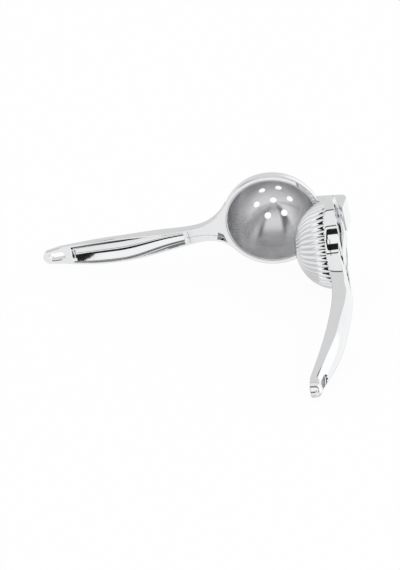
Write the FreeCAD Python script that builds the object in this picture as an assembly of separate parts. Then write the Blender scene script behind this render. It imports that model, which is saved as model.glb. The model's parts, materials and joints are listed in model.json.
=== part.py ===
import FreeCAD, Part
import math
import os
from dataclasses import dataclass

# Hinged lemon squeezer, millimetres and degrees.
#
# It is drawn closed, in the bowl's own frame: the origin is the middle of the bowl's mouth,
# X points to the handle tips, Z points out of the mouth, and the hinge pin lies along Y.
# The upper arm is then swung open about the pin, and the whole squeezer is laid on its side
# on a table, where it rests on the bowl's rim and on the two handles.

# Strainer cup, a thin pressed shell
cup_radius = 32.0
cup_depth = 30.0
cup_wall = 1.0
hole_diameter = 5.0
hole_circle_radius = 12.1
hole_count = 6
cup_seat_gap = 0.1

# Rim of the lower arm, which holds the cup
rim_face = 3.0
rim_height = 10.0
rim_edge_round = 0.8
rim_foot_round = 1.5

# Shape that the two handles share
handle_reach = 170.0
arch_radius = 280.0
arch_crest_at = 97.0
neck_at = 54.0
neck_half_width = 6.1
widest_at = 113.0
grip_half_width = 9.9
tip_radius = 5.45
flange = 1.6
crown = 3.4
crown_share = 0.4
side_draft = 4.0
channel_start = 64.0
channel_end = 148.5
channel_floor = 2.2
channel_round = 0.8
hollow_end = 62.0
hollow_depth = 4.2
hollow_border = 0.6

# Hanging slot near each tip
slot_centre_from_tip = 10.4
slot_length = 11.3
slot_width = 6.3

# Lower arm: height of the handle's open edge over the rim, and its depth along the handle
lower_crest = 6.2
lower_root_depth = 9.0
lower_neck_depth = 9.6
lower_shoulder_at = 80.0
lower_shoulder_depth = 11.3
lower_middle_depth = 8.4
lower_tip_depth = 5.6

# Upper arm: gap between the closed handles' edges, and its depth along the handle
handle_gap = 6.6
upper_root_depth = 10.4
upper_neck_depth = 11.0
upper_shoulder_at = 68.0
upper_shoulder_depth = 12.2
upper_middle_depth = 10.3
upper_tip_depth = 7.0

# Press ring, which carries the fluted dome
ring_lip = 2.3
ring_front = 5.5
ring_wall = 2.4
ring_low_height = 3.2
ring_high_height = 10.8
ring_level_to = -18.0
ledge_drop = 1.8
ledge_width = 2.6

# Fluted dome, a hollow shell
dome_side_gap = 1.5
dome_height = 26.5
dome_wall = 1.8
flute_count = 42
flute_depth = 1.1
flute_cap_radius = 4.6
flute_cap_overlap = 0.5
flute_cap_proud = 0.15
flute_end_depth = 0.25
dome_seat_gap = 0.1

# Spine over the back of the ring, from the handle to the hinge eye
spine_half_width = 5.0
spine_thickness = 4.2
spine_crown = 1.2
spine_middle_height = 9.0
spine_start = 34.0

# Hinge: the lower arm's fork, the upper arm's eye and the pin
pin_radius = 2.5
pin_end_chamfer = 0.4
pin_running_gap = 0.05
hinge_offset = 8.2
hinge_height = 1.84
eye_radius = 6.2
fork_half_width = 10.0
fork_side_gap = 0.3
fork_boss_radius = 8.6
fork_boss_end_angle = 125.0
fork_wall = 1.7
fork_wall_top = 14.0
fork_wall_out = 8.3
fork_heel_out = 11.1
fork_heel_drop = 1.4
fork_base_rise = 4.8
fork_base_drop = 8.0
tongue_lift = 1.2

# Pose in which it lies: how far it is opened
open_angle = 85.0

# Cutting bodies reach this far, past every piece, and past an open edge by the overrun
far_out = 400.0
overrun = 1.0

# Fineness of the surface points on which the resting pose is worked out
point_step = 0.05


def vector(x, y, z):
    """A point or direction."""
    return FreeCAD.Vector(x, y, z)


def eased(place, stations):
    """Value at a place among (place, value) stations, eased from each to the next."""
    for (near, low), (far, high) in zip(stations, stations[1:]):
        if place <= far:
            part = max(0.0, (place - near) / (far - near))
            return low + (high - low) * part * part * (3.0 - 2.0 * part)
    return stations[-1][1]


def line(start, end):
    """Straight edge between two points."""
    return Part.LineSegment(start, end).toShape()


def arc(start, middle, end):
    """Round edge through three points."""
    return Part.Arc(start, middle, end).toShape()


def polygon(points):
    """Flat face with straight sides through the points."""
    return Part.Face(Part.makePolygon(points + [points[0]]))


def turned(face):
    """Solid made by turning a face in the XZ plane about Z."""
    return face.revolve(vector(0, 0, 0), vector(0, 0, 1), 360)


def revolved(points):
    """Solid made by turning a straight-sided (radius, height) outline about Z."""
    return turned(polygon([vector(radius, 0, height) for radius, height in points]))


def rounded_rings(body, radius, rings):
    """The body with its circular edges of each (radius, height) rounded."""
    edges = []
    for edge in body.Edges:
        curve = edge.Curve
        if not isinstance(curve, Part.Circle):
            continue
        for ring_size, height in rings:
            if abs(curve.Radius - ring_size) < 0.01 and abs(curve.Center.z - height) < 0.01:
                edges.append(edge)
    return body.makeFillet(radius, edges)


def slab(face, half_width):
    """Solid made by thickening a face in the XZ plane equally to both sides."""
    body = face.copy()
    body.translate(vector(0, -half_width, 0))
    return body.extrude(vector(0, 2 * half_width, 0))


@dataclass
class Arm:
    """What tells one arm's handle from the other's."""

    root_radius: float  # radius of the rim or ring that the handle grows from
    front: float  # height of that rim's face
    crest: float  # highest point of the handle's open edge
    back: int  # which way the handle's closed back faces along Z
    depths: list  # (place, depth) stations of the whole section


rim_radius = cup_radius + cup_wall + rim_face
dome_radius = cup_radius - dome_side_gap
ring_radius = dome_radius + dome_seat_gap + ring_lip
pin_x = -(rim_radius + hinge_offset)
pin_z = hinge_height
cup_centre = (cup_radius**2 - cup_depth**2) / (2.0 * cup_depth)
cup_sphere = cup_depth + cup_centre

lower = Arm(
    root_radius=rim_radius,
    front=0.0,
    crest=lower_crest,
    back=-1,
    depths=[
        (rim_radius, lower_root_depth),
        (neck_at, lower_neck_depth),
        (lower_shoulder_at, lower_shoulder_depth),
        (widest_at, lower_middle_depth),
        (handle_reach, lower_tip_depth),
    ],
)
upper = Arm(
    root_radius=ring_radius,
    front=ring_front,
    crest=lower_crest + handle_gap,
    back=1,
    depths=[
        (ring_radius, upper_root_depth),
        (neck_at, upper_neck_depth),
        (upper_shoulder_at, upper_shoulder_depth),
        (widest_at, upper_middle_depth),
        (handle_reach, upper_tip_depth),
    ],
)


def flare_radius(arm):
    """Radius of the fillet in plan that runs from the rim into the neck."""
    spare = neck_at**2 + neck_half_width**2 - arm.root_radius**2
    return spare / (2.0 * (arm.root_radius - neck_half_width))


def flare_start(arm):
    """Distance along the handle at which the fillet leaves the rim."""
    return arm.root_radius * neck_at / (arm.root_radius + flare_radius(arm))


def half_width(arm, place):
    """Half the handle's width in plan."""
    if place < neck_at:
        flare = flare_radius(arm)
        return neck_half_width + flare - math.sqrt(flare**2 - (neck_at - place) ** 2)
    if place < widest_at:
        return eased(place, [(neck_at, neck_half_width), (widest_at, grip_half_width)])
    taper = (place - widest_at) / (handle_reach - tip_radius - widest_at)
    return grip_half_width - (grip_half_width - tip_radius) * taper**2


def edge_height(arm, place):
    """Height of the handle's open edge, an arch that starts at the rim's face."""
    arch = arm.crest - (place - arch_crest_at) ** 2 / (2.0 * arch_radius)
    return max(arm.front, arch)


def section(arm, place, inset, floor, over):
    """Closed wire across the handle: a flat open side, drafted walls and a crowned back."""
    half = half_width(arm, place) - inset
    top = edge_height(arm, place) - arm.back * over
    depth = eased(place, arm.depths) - floor + over
    bulge = min(crown, crown_share * depth) if inset == 0 else channel_round * min(half, depth)
    wall = depth - bulge
    foot = half - wall * math.tan(math.radians(side_draft))
    left_top = vector(place, -half, top)
    right_top = vector(place, half, top)
    right_foot = vector(place, foot, top + arm.back * wall)
    back = vector(place, 0, top + arm.back * depth)
    left_foot = vector(place, -foot, top + arm.back * wall)
    edges = [
        line(left_top, right_top),
        line(right_top, right_foot),
        arc(right_foot, back, left_foot),
        line(left_foot, left_top),
    ]
    return Part.Wire(edges)


def spread(start, end, steps):
    """Evenly spaced places from start to end, both included."""
    return [start + (end - start) * step / steps for step in range(steps + 1)]


def handle_solid(arm):
    """Handle from the rim to its rounded tip, before it is hollowed."""
    root = spread(flare_start(arm), neck_at, 4)
    grip = spread(neck_at, handle_reach, 10)
    body = Part.makeLoft([section(arm, x, 0, 0, 0) for x in root + grip[1:]], True, False)
    centre = handle_reach - tip_radius
    end = Part.makeBox(far_out, 2 * far_out, 2 * far_out, vector(centre, -far_out, -far_out))
    end = end.cut(Part.makeCylinder(tip_radius, 2 * far_out, vector(centre, 0, -far_out)))
    return body.cut(end)


def handle_channel(arm):
    """Space inside the handle's grip, open on the side that faces the other arm."""
    places = spread(channel_start, channel_end, 6)
    wires = [section(arm, x, flange, channel_floor, overrun) for x in places]
    return Part.makeLoft(wires, True, False)


def handle_hollow(arm):
    """Fan-shaped pocket between the rim and the grip, open on the same side."""
    flare = flare_radius(arm)
    middle_y = neck_half_width + flare
    side = flare + flange
    near = arm.root_radius + hollow_border
    reach = near**2 + neck_at**2 + middle_y**2 - side**2
    span = math.hypot(neck_at, middle_y)
    turn = math.atan2(middle_y, neck_at) - math.acos(reach / (2.0 * near * span))
    corner_x = near * math.cos(turn)
    corner_y = near * math.sin(turn)
    waist_y = neck_half_width - flange
    lean = math.atan2(corner_y - middle_y, corner_x - neck_at)
    lean = (lean - math.pi / 2) / 2
    bend_x = neck_at + side * math.cos(lean)
    bend_y = middle_y + side * math.sin(lean)
    base = arm.front - arm.back * far_out
    near_edge = [vector(corner_x, corner_y, base), vector(corner_x, -corner_y, base)]
    bends = [vector(bend_x, bend_y, base), vector(bend_x, -bend_y, base)]
    waist = [vector(neck_at, waist_y, base), vector(neck_at, -waist_y, base)]
    end = [vector(hollow_end, waist_y, base), vector(hollow_end, -waist_y, base)]
    edges = [
        arc(near_edge[0], vector(near, 0, base), near_edge[1]),
        arc(near_edge[1], bends[1], waist[1]),
        line(waist[1], end[1]),
        line(end[1], end[0]),
        line(end[0], waist[0]),
        arc(waist[0], bends[0], near_edge[0]),
    ]
    face = Part.Face(Part.Wire(edges))
    return face.extrude(vector(0, 0, arm.back * (hollow_depth + far_out)))


def hanging_slot():
    """Slot through both handles near their tips."""
    radius = slot_width / 2
    centre = handle_reach - slot_centre_from_tip
    half = slot_length / 2 - radius
    body = Part.makeBox(2 * half, slot_width, 2 * far_out, vector(centre - half, -radius, -far_out))
    for end in (centre - half, centre + half):
        body = body.fuse(Part.makeCylinder(radius, 2 * far_out, vector(end, 0, -far_out)))
    return body.removeSplitter()


def across(radius, half_length, x, z):
    """Cylinder along the hinge line."""
    return Part.makeCylinder(radius, 2 * half_length, vector(x, -half_length, z), vector(0, 1, 0))


def ball(radius, height):
    """Ball on the bowl's axis."""
    return Part.makeSphere(radius, vector(0, 0, height))


def below(height):
    """Everything under a height."""
    return Part.makeBox(2 * far_out, 2 * far_out, far_out, vector(-far_out, -far_out, height - far_out))


def strainer_cup():
    """Pressed cup with one hole in the middle and a ring of holes round it."""
    shell = ball(cup_sphere + cup_wall, cup_centre).cut(ball(cup_sphere, cup_centre))
    shell = shell.common(below(0))
    holes = [vector(0, 0, 0)]
    for step in range(hole_count):
        turn = math.radians(360.0 * step / hole_count)
        across_x = hole_circle_radius * math.cos(turn)
        across_y = hole_circle_radius * math.sin(turn)
        holes.append(vector(across_x, across_y, 0))
    centre = vector(0, 0, cup_centre)
    for place in holes:
        drop = math.sqrt(cup_sphere**2 - place.Length**2)
        outward = place - vector(0, 0, drop)
        outward.normalize()
        start = centre + outward * (cup_sphere / 2)
        drill = Part.makeCylinder(hole_diameter / 2, cup_sphere, start, outward)
        shell = shell.cut(drill)
    return shell


def fork_outline():
    """Side outline of the lower arm's fork, from the rim to the wall that stops the upper arm."""
    wall_x = pin_x - fork_wall_out
    heel_x = pin_x - fork_heel_out
    root_x = -(cup_radius + cup_wall)
    boss_right = pin_x + fork_boss_radius
    leave = math.radians(fork_boss_end_angle)
    top = vector(pin_x, 0, pin_z + fork_boss_radius)
    leave_x = pin_x + fork_boss_radius * math.cos(leave)
    leave_z = pin_z + fork_boss_radius * math.sin(leave)
    points = [
        vector(boss_right, 0, pin_z),
        vector(boss_right, 0, 0),
        vector(root_x, 0, 0),
        vector(root_x, 0, -fork_base_drop),
        vector(heel_x + fork_wall, 0, -fork_base_drop + fork_base_rise),
        vector(heel_x, 0, pin_z - fork_heel_drop),
        vector(wall_x, 0, fork_wall_top),
        vector(wall_x + fork_wall, 0, fork_wall_top),
        vector(leave_x, 0, leave_z),
    ]
    edges = [line(start, end) for start, end in zip(points, points[1:])]
    edges.append(arc(points[-1], top, points[0]))
    return Part.Face(Part.Wire(edges))


def fork_slot():
    """Slot in the fork for the upper arm's eye, which leaves the end wall standing."""
    wall_x = pin_x - fork_wall_out + fork_wall
    heel_x = pin_x - fork_heel_out + fork_wall
    near_x = -(cup_radius + cup_wall)
    points = [
        vector(near_x, 0, far_out),
        vector(wall_x, 0, far_out),
        vector(wall_x, 0, fork_wall_top),
        vector(heel_x, 0, pin_z - fork_heel_drop),
        vector(heel_x, 0, -far_out),
        vector(near_x, 0, -far_out),
    ]
    slot = slab(polygon(points), spine_half_width + fork_side_gap)
    return slot.cut(Part.makeCylinder(rim_radius, far_out, vector(0, 0, -far_out)))


def lower_arm():
    """Lower casting: rim, neck, handle and hinge fork."""
    inner = cup_radius + cup_wall - rim_face
    outer = math.hypot(rim_radius, cup_centre)
    foot = math.sqrt(outer**2 - (cup_centre + rim_height) ** 2)
    rim = revolved([(inner, 0), (rim_radius, 0), (rim_radius, -rim_height), (inner, -rim_height)])
    rim = rim.common(ball(outer, cup_centre))
    rim = rounded_rings(rim, rim_edge_round, [(rim_radius, 0)])
    rim = rounded_rings(rim, rim_foot_round, [(foot, -rim_height)])
    fork = slab(fork_outline(), fork_half_width)
    body = rim.fuse([handle_solid(lower), fork])
    body = body.cut(ball(cup_sphere + cup_wall + cup_seat_gap, cup_centre))
    body = body.cut([handle_channel(lower), handle_hollow(lower), hanging_slot(), fork_slot()])
    body = body.cut(across(pin_radius, fork_half_width + overrun, pin_x, pin_z))
    return body.removeSplitter()


def hinge_pin():
    """Pin pressed into the fork, with chamfered ends."""
    pin = across(pin_radius, fork_half_width, pin_x, pin_z)
    ends = [edge for edge in pin.Edges if len(edge.Vertexes) == 1]
    return pin.makeChamfer(pin_end_chamfer, ends)


def ring_back():
    """Everything behind the ring's back edge, which rises from the hinge to the handle."""
    low = ring_front + ring_low_height
    high = ring_front + ring_high_height
    far = ring_radius
    slope = (high - low) / (far - ring_level_to)
    reach = 2 * ring_radius
    points = [
        vector(-reach, 0, low),
        vector(ring_level_to, 0, low),
        vector(reach, 0, low + slope * (reach - ring_level_to)),
        vector(reach, 0, far_out),
        vector(-reach, 0, far_out),
    ]
    return slab(polygon(points), far_out)


def press_ring():
    """Ring with a ledge inside, on which the dome's skirt seats."""
    high = ring_front + ring_high_height
    mouth = dome_radius + dome_seat_gap
    ledge = ring_front + ledge_drop
    ledge_top = ring_front + ring_low_height
    ring = revolved(
        [
            (mouth, ring_front),
            (ring_radius, ring_front),
            (ring_radius, high),
            (ring_radius - ring_wall, high),
            (ring_radius - ring_wall, ledge_top),
            (mouth - ledge_width, ledge_top),
            (mouth - ledge_width, ledge),
            (mouth, ledge),
        ]
    )
    return ring.cut(ring_back())


def spine_top(place):
    """Height of the spine's back, from the hinge eye to the handle's root."""
    eye_top = pin_z + eye_radius
    root_top = edge_height(upper, spine_start) + upper_root_depth
    middle = ring_front + spine_middle_height
    return eased(place, [(pin_x, eye_top), (0.0, middle), (spine_start, root_top)])


def spine():
    """Bar over the ring's hollow back that ties the handle to the hinge eye."""
    wires = []
    for place in spread(pin_x, spine_start, 6):
        top = spine_top(place)
        side = top - spine_crown
        foot = top - spine_thickness
        edges = [
            line(vector(place, -spine_half_width, foot), vector(place, spine_half_width, foot)),
            line(vector(place, spine_half_width, foot), vector(place, spine_half_width, side)),
            arc(
                vector(place, spine_half_width, side),
                vector(place, 0, top),
                vector(place, -spine_half_width, side),
            ),
            line(vector(place, -spine_half_width, side), vector(place, -spine_half_width, foot)),
        ]
        wires.append(Part.Wire(edges))
    return Part.makeLoft(wires, True, False)


def tongue():
    """Web between the hinge eye and the ring, clear of the bowl's rim when closed."""
    ledge_x = -(ring_radius - ring_wall / 2)
    points = [
        vector(pin_x, 0, tongue_lift),
        vector(ledge_x, 0, tongue_lift),
        vector(ledge_x, 0, ring_front + ring_low_height - spine_crown),
        vector(pin_x, 0, pin_z + eye_radius - spine_crown),
    ]
    return slab(polygon(points), spine_half_width)


def upper_arm():
    """Upper casting: press ring, spine, handle and hinge eye."""
    hollow = Part.makeCylinder(ring_radius - ring_wall, 2 * far_out, vector(0, 0, -far_out))
    handle = handle_solid(upper).cut(hollow)
    eye = across(eye_radius, spine_half_width, pin_x, pin_z)
    body = press_ring().fuse([handle, spine(), tongue(), eye])
    seat_depth = vector(0, 0, ring_front + ledge_drop - far_out)
    seat = Part.makeCylinder(dome_radius + dome_seat_gap, far_out, seat_depth)
    body = body.cut([handle_channel(upper), handle_hollow(upper), hanging_slot(), seat])
    body = body.cut(across(pin_radius + pin_running_gap, far_out, pin_x, pin_z))
    return body.removeSplitter()


def lobed_wire(crest_radius, groove, height):
    """Closed ring of flutes: one outward arc for each."""
    edges = []
    for step in range(flute_count):
        turns = [2 * math.pi * (step + part) / flute_count for part in (0.0, 0.5, 1.0)]
        radii = [crest_radius - groove, crest_radius, crest_radius - groove]
        points = [
            vector(radius * math.cos(turn), radius * math.sin(turn), height)
            for radius, turn in zip(radii, turns)
        ]
        edges.append(arc(*points))
    return Part.Wire(edges)


def dome_body(radius, height, start_height):
    """Solid half-ellipsoid that hangs from a flat top."""
    base = vector(0, 0, start_height)
    points = []
    for turn in spread(0.0, math.pi / 2, 9):
        points.append(base + vector(radius * math.cos(turn), 0, -height * math.sin(turn)))
    curve = Part.BSplineCurve()
    curve.interpolate(points, InitialTangent=vector(0, 0, -1), FinalTangent=vector(-1, 0, 0))
    edges = [curve.toShape(), line(points[-1], base), line(base, points[0])]
    return turned(Part.Face(Part.Wire(edges)))


def press_dome():
    """Hollow fluted dome with a smooth cap and a short skirt that seats in the ring."""
    cap_share = math.sqrt(1.0 - (flute_cap_radius / dome_radius) ** 2)
    wires = [lobed_wire(dome_radius, flute_depth, ring_front + ledge_drop - dome_seat_gap)]
    for turn in spread(0.0, math.asin(cap_share), 9):
        crest = dome_radius * math.cos(turn)
        share = (crest - flute_cap_radius) / (dome_radius - flute_cap_radius)
        groove = flute_end_depth + (flute_depth - flute_end_depth) * share
        wires.append(lobed_wire(crest, groove, ring_front - dome_height * math.sin(turn)))
    body = Part.makeLoft(wires, True, True)
    cap_radius = flute_cap_radius + flute_cap_overlap
    cap_base = ring_front - dome_height * math.sqrt(1.0 - (cap_radius / dome_radius) ** 2)
    cap = dome_body(dome_radius + flute_cap_proud, dome_height + flute_cap_proud, ring_front)
    body = body.fuse(cap.common(below(cap_base)))
    inner = dome_radius - dome_wall - flute_depth
    return body.cut(dome_body(inner, dome_height - dome_wall + ledge_drop, ring_front + ledge_drop))


def surface_points(shape):
    """Points spread over a shape's surface."""
    return shape.tessellate(point_step)[0]


def support_points(shape, near, far):
    """Points of a shape's surface between two distances from the bowl's axis."""
    return [point for point in surface_points(shape) if near <= point.Length <= far]


def lying_placement(fixed, swung):
    """Placement that lays the squeezer on its side, on the rim and the two handles."""
    groups = [
        support_points(fixed, 0.0, rim_radius + flange),
        support_points(fixed, widest_at, 2 * handle_reach),
        support_points(swung, widest_at, 2 * handle_reach),
    ]
    up = vector(0, -1, 0)
    for _ in range(12):
        feet = [min(group, key=up.dot) for group in groups]
        normal = (feet[1] - feet[0]).cross(feet[2] - feet[0])
        normal.normalize()
        up = normal if normal.dot(up) > 0 else normal * -1
    right = vector(-1, 0, 0) - up * up.dot(vector(-1, 0, 0))
    right.normalize()
    rotation = FreeCAD.Rotation(right, up.cross(right), up, "ZXY").inverted()
    return FreeCAD.Placement(vector(0, 0, 0), rotation)


def build_pieces():
    """All pieces in the bowl's frame, with the upper arm's pieces swung open."""
    fixed = {
        "lower_arm": lower_arm(),
        "strainer_cup": strainer_cup(),
        "hinge_pin": hinge_pin(),
    }
    swung = {
        "upper_arm": upper_arm(),
        "press_dome": press_dome(),
    }
    for shape in swung.values():
        shape.rotate(vector(pin_x, 0, pin_z), vector(0, -1, 0), open_angle)
    return {**fixed, **swung}


def table_placement(pieces):
    """Placement from the bowl's frame to the table, with the origin under the middle."""
    lying = lying_placement(pieces["lower_arm"], pieces["upper_arm"])
    points = []
    for shape in pieces.values():
        points += [lying.multVec(point) for point in surface_points(shape)]
    box = FreeCAD.BoundBox()
    for point in points:
        box.add(point)
    return FreeCAD.Placement(vector(-box.Center.x, -box.Center.y, -box.ZMin), lying.Rotation)


def main():
    """Build every piece, lay the squeezer on its side and write one file for each piece."""
    pieces = build_pieces()
    table = table_placement(pieces)
    os.makedirs("parts", exist_ok=True)
    for name, shape in pieces.items():
        shape.Placement = table.multiply(shape.Placement)
        shape.exportStep(f"parts/{name}.step")
        print(name, len(shape.Solids), shape.isValid(), round(shape.Volume, 1))
    return pieces, table


if __name__ == "__main__":
    main()
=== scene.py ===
"""Dressed model of a hinged lemon squeezer, lying open on its side on a pale table.

Every piece is drawn in millimetres in the bowl's own frame, as if the squeezer were closed: the
origin is the middle of the bowl's mouth, X points to the handle tips, Z points out of the mouth
and the hinge pin lies along Y. The upper arm is then swung open, and all of it is laid down.
"""

import json
import logging
import math
from collections.abc import Iterable
from dataclasses import dataclass, field
from enum import Enum

import bmesh
import bpy
from mathutils import Matrix, Vector


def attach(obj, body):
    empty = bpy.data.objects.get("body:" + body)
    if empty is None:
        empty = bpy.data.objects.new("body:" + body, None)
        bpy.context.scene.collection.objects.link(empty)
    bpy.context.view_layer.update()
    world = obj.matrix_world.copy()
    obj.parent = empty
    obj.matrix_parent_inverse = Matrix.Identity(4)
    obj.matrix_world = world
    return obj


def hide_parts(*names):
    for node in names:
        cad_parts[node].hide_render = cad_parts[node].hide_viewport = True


logging.basicConfig(level=logging.INFO, format="%(message)s")
log = logging.getLogger("squeezer")

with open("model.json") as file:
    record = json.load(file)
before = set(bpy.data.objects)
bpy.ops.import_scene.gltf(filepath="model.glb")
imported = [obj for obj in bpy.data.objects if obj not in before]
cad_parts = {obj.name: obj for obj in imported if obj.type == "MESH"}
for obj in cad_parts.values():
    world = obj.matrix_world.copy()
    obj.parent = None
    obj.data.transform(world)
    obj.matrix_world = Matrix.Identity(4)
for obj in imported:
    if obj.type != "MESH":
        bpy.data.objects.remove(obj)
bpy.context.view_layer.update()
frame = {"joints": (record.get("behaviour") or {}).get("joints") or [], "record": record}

Profile = list[tuple[float, float]]

MM = 0.001
UP = Vector((0.0, 0.0, 1.0))
ACROSS = Vector((0.0, 1.0, 0.0))

# Half lengths of the round cutters, and steps round of wide and of narrow turned shapes.
SEAT_REACH = 40.0
RING_REACH = 60.0
BORE_REACH = 14.0
ROUND_STEPS = 192
BORE_STEPS = 64

# Where a side wall of a handle has points between its corners, as shares of its height.
WALL_SHARES = (0.35, 0.7)


class Arm(Enum):
    """The two arms; the value says which way the closed back of the handle faces."""

    LOWER = -1
    UPPER = 1


class Cut(Enum):
    """How one mesh is joined with another."""

    ADD = "UNION"
    REMOVE = "DIFFERENCE"


# Sizes


@dataclass(frozen=True)
class BowlSizes:
    """The cup, and the rim of the lower arm that holds it."""

    cup_radius: float = 32.0
    cup_depth: float = 30.0
    cup_wall: float = 1.0
    seat_gap: float = 0.1
    hole_radius: float = 2.5
    hole_circle: float = 12.1
    hole_count: int = 6
    rim_face: float = 3.0
    rim_height: float = 10.0

    @property
    def rim_radius(self) -> float:
        """Outer radius of the rim."""
        return self.cup_radius + self.cup_wall + self.rim_face

    @property
    def centre(self) -> float:
        """Height of the middle of the cup's ball shape."""
        return (self.cup_radius**2 - self.cup_depth**2) / (2.0 * self.cup_depth)

    @property
    def ball(self) -> float:
        """Inner radius of the cup's ball shape."""
        return self.cup_depth + self.centre


@dataclass(frozen=True)
class HingeSizes:
    """The fork of the lower arm, the eye of the upper arm and the pin."""

    offset: float = 8.2
    height: float = 1.84
    pin_radius: float = 2.5
    running_gap: float = 0.05
    eye_radius: float = 6.2
    fork_half: float = 10.0
    side_gap: float = 0.3
    boss_radius: float = 8.6
    boss_end: float = 125.0
    wall: float = 1.7
    wall_top: float = 14.0
    wall_out: float = 8.3
    heel_out: float = 11.1
    heel_drop: float = 1.4
    base_rise: float = 4.8
    base_drop: float = 8.0


@dataclass(frozen=True)
class HandleSizes:
    """The shape that the two handles share."""

    reach: float = 170.0
    arch_radius: float = 280.0
    arch_at: float = 97.0
    neck_at: float = 54.0
    neck_half: float = 6.1
    widest_at: float = 113.0
    grip_half: float = 9.9
    tip_radius: float = 5.45
    flange: float = 1.6
    crown: float = 3.4
    crown_share: float = 0.4
    draft: float = 4.0
    channel_start: float = 64.0
    channel_end: float = 148.5
    channel_floor: float = 2.2
    channel_round: float = 0.8
    channel_bow: float = 0.36
    pocket_end: float = 62.0
    pocket_depth: float = 4.2
    pocket_border: float = 0.6
    pocket_round: float = 2.2
    pocket_clear: float = 6.0
    slot_from_tip: float = 10.4
    slot_length: float = 11.3
    slot_width: float = 6.3
    slot_flare: float = 0.35
    slot_flare_depth: float = 0.4
    slot_clear: float = 4.0
    channel_rise: float = 1.5
    root_at: float = 34.0
    root_sink: float = 0.01
    lip_at: float = 38.0
    lip_round: float = 0.55
    lip_inward: float = 0.45
    inner_round: float = 0.3
    heel_round: float = 0.5
    least_half: float = 0.25
    least_share: float = 0.6
    nose_back: float = 2.6
    nose_front: float = 0.9
    tip_turn: float = 88.0


@dataclass(frozen=True)
class ArmSizes:
    """What tells one arm's handle from the other's."""

    arm: Arm
    root_radius: float
    front: float
    crest: float
    root_crown: float
    lip_run: float
    depths: tuple[tuple[float, float], ...]


@dataclass(frozen=True)
class PressSizes:
    """The ring of the upper arm, its spine, and the fluted dome."""

    ring_radius: float = 32.9
    ring_front: float = 5.5
    ring_wall: float = 2.4
    low_height: float = 3.2
    high_height: float = 10.8
    level_to: float = -18.0
    ledge_drop: float = 1.8
    ledge_width: float = 2.6
    dome_radius: float = 30.5
    dome_height: float = 26.5
    dome_wall: float = 1.8
    flutes: int = 42
    flute_depth: float = 1.1
    flute_end_depth: float = 0.25
    cap_radius: float = 4.6
    seat_gap: float = 0.1
    spine_half: float = 5.0
    spine_thickness: float = 4.2
    spine_crown: float = 1.2
    spine_middle: float = 9.0
    spine_start: float = 34.0
    tongue_lift: float = 1.2


BOWL = BowlSizes()
HINGE = HingeSizes()
HANDLE = HandleSizes()
PRESS = PressSizes()
PIN_X = -(BOWL.rim_radius + HINGE.offset)
PIN_Z = HINGE.height
PIN = Vector((PIN_X, 0.0, PIN_Z))

LOWER = ArmSizes(
    arm=Arm.LOWER,
    root_radius=BOWL.rim_radius,
    front=0.0,
    crest=6.2,
    root_crown=1.0,
    lip_run=0.55,
    depths=((BOWL.rim_radius, 9.0), (54.0, 9.6), (80.0, 11.3), (113.0, 8.4), (170.0, 5.6)),
)
UPPER = ArmSizes(
    arm=Arm.UPPER,
    root_radius=PRESS.ring_radius,
    front=PRESS.ring_front,
    crest=12.8,
    root_crown=0.5,
    lip_run=3.6,
    depths=((PRESS.ring_radius, 10.4), (54.0, 11.0), (68.0, 12.2), (113.0, 10.3), (170.0, 7.0)),
)


# Where it lies


@dataclass(frozen=True)
class Placement:
    """Where the bowl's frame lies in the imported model's frame."""

    matrix: Matrix

    @classmethod
    def from_record(cls, record: dict) -> "Placement":
        """Read the resting pose off the hinge and the lower hanging slot.

        Args:
            record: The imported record, with its joint and its mounts.

        Returns:
            The placement, from millimetres in the bowl's frame to metres.
        """
        joint = frame["joints"][0]
        across = -Vector(joint["axis"]).normalized()
        slot = next(m for m in record["mounts"] if m["name"] == "lower_hang_slot")
        out = Vector(slot["axis"]).normalized()
        along = across.cross(out).normalized()
        pin = Vector(joint["pos_m"])
        base = pin - (along * PIN_X + out * PIN_Z) * MM
        turn = Matrix((along, across, out)).transposed().to_4x4()
        return cls(Matrix.Translation(base) @ turn @ Matrix.Scale(MM, 4))

    def opened(self, degrees: float) -> Matrix:
        """Placement of the upper arm, swung open about the pin.

        Args:
            degrees: How far it is swung.

        Returns:
            The placement, from millimetres in the bowl's frame to metres.
        """
        swing = Matrix.Rotation(-math.radians(degrees), 4, "Y")
        return self.matrix @ Matrix.Translation(PIN) @ swing @ Matrix.Translation(-PIN)

    def point(self, place: Iterable[float]) -> Vector:
        """A point of the bowl's frame in metres."""
        return self.matrix @ Vector(place)

    def direction(self, way: Iterable[float]) -> Vector:
        """A direction of the bowl's frame."""
        return (self.matrix.to_3x3() @ Vector(way)).normalized()


OPEN_ANGLE = 85.0
PLACEMENT = Placement.from_record(frame["record"])


# Drawing tools


def eased(place: float, stations: Iterable[tuple[float, float]]) -> float:
    """Value at a place among stations, eased from each to the next.

    Args:
        place: Where the value is wanted.
        stations: Pairs of place and value, in order.

    Returns:
        The value there, level before the first station and after the last.
    """
    points = list(stations)
    for (near, low), (far, high) in zip(points, points[1:]):
        if place <= far:
            part = max(0.0, (place - near) / (far - near))
            return low + (high - low) * part * part * (3.0 - 2.0 * part)
    return points[-1][1]


def spread(start: float, end: float, steps: int) -> list[float]:
    """Evenly spaced places from start to end, both included."""
    return [start + (end - start) * step / steps for step in range(steps + 1)]


def corner(
    before: Vector, at: Vector, after: Vector, size: float, steps: int, far: float | None = None
) -> list[Vector]:
    """Round a corner of an outline.

    Args:
        before: The outline's point before the corner.
        at: The corner itself.
        after: The outline's point after the corner.
        size: How far from the corner the rounding starts.
        steps: Number of pieces of the rounding.
        far: How far after the corner it ends, where that differs.

    Returns:
        The points of the rounding, from one side to the other.
    """
    reach = size if far is None else far
    start = at + (before - at).normalized() * min(size, 0.45 * (before - at).length)
    end = at + (after - at).normalized() * min(reach, 0.45 * (after - at).length)
    points = []
    for t in spread(0.0, 1.0, steps):
        points.append(start * (1 - t) ** 2 + at * (2 * t * (1 - t)) + end * t**2)
    return points


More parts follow.
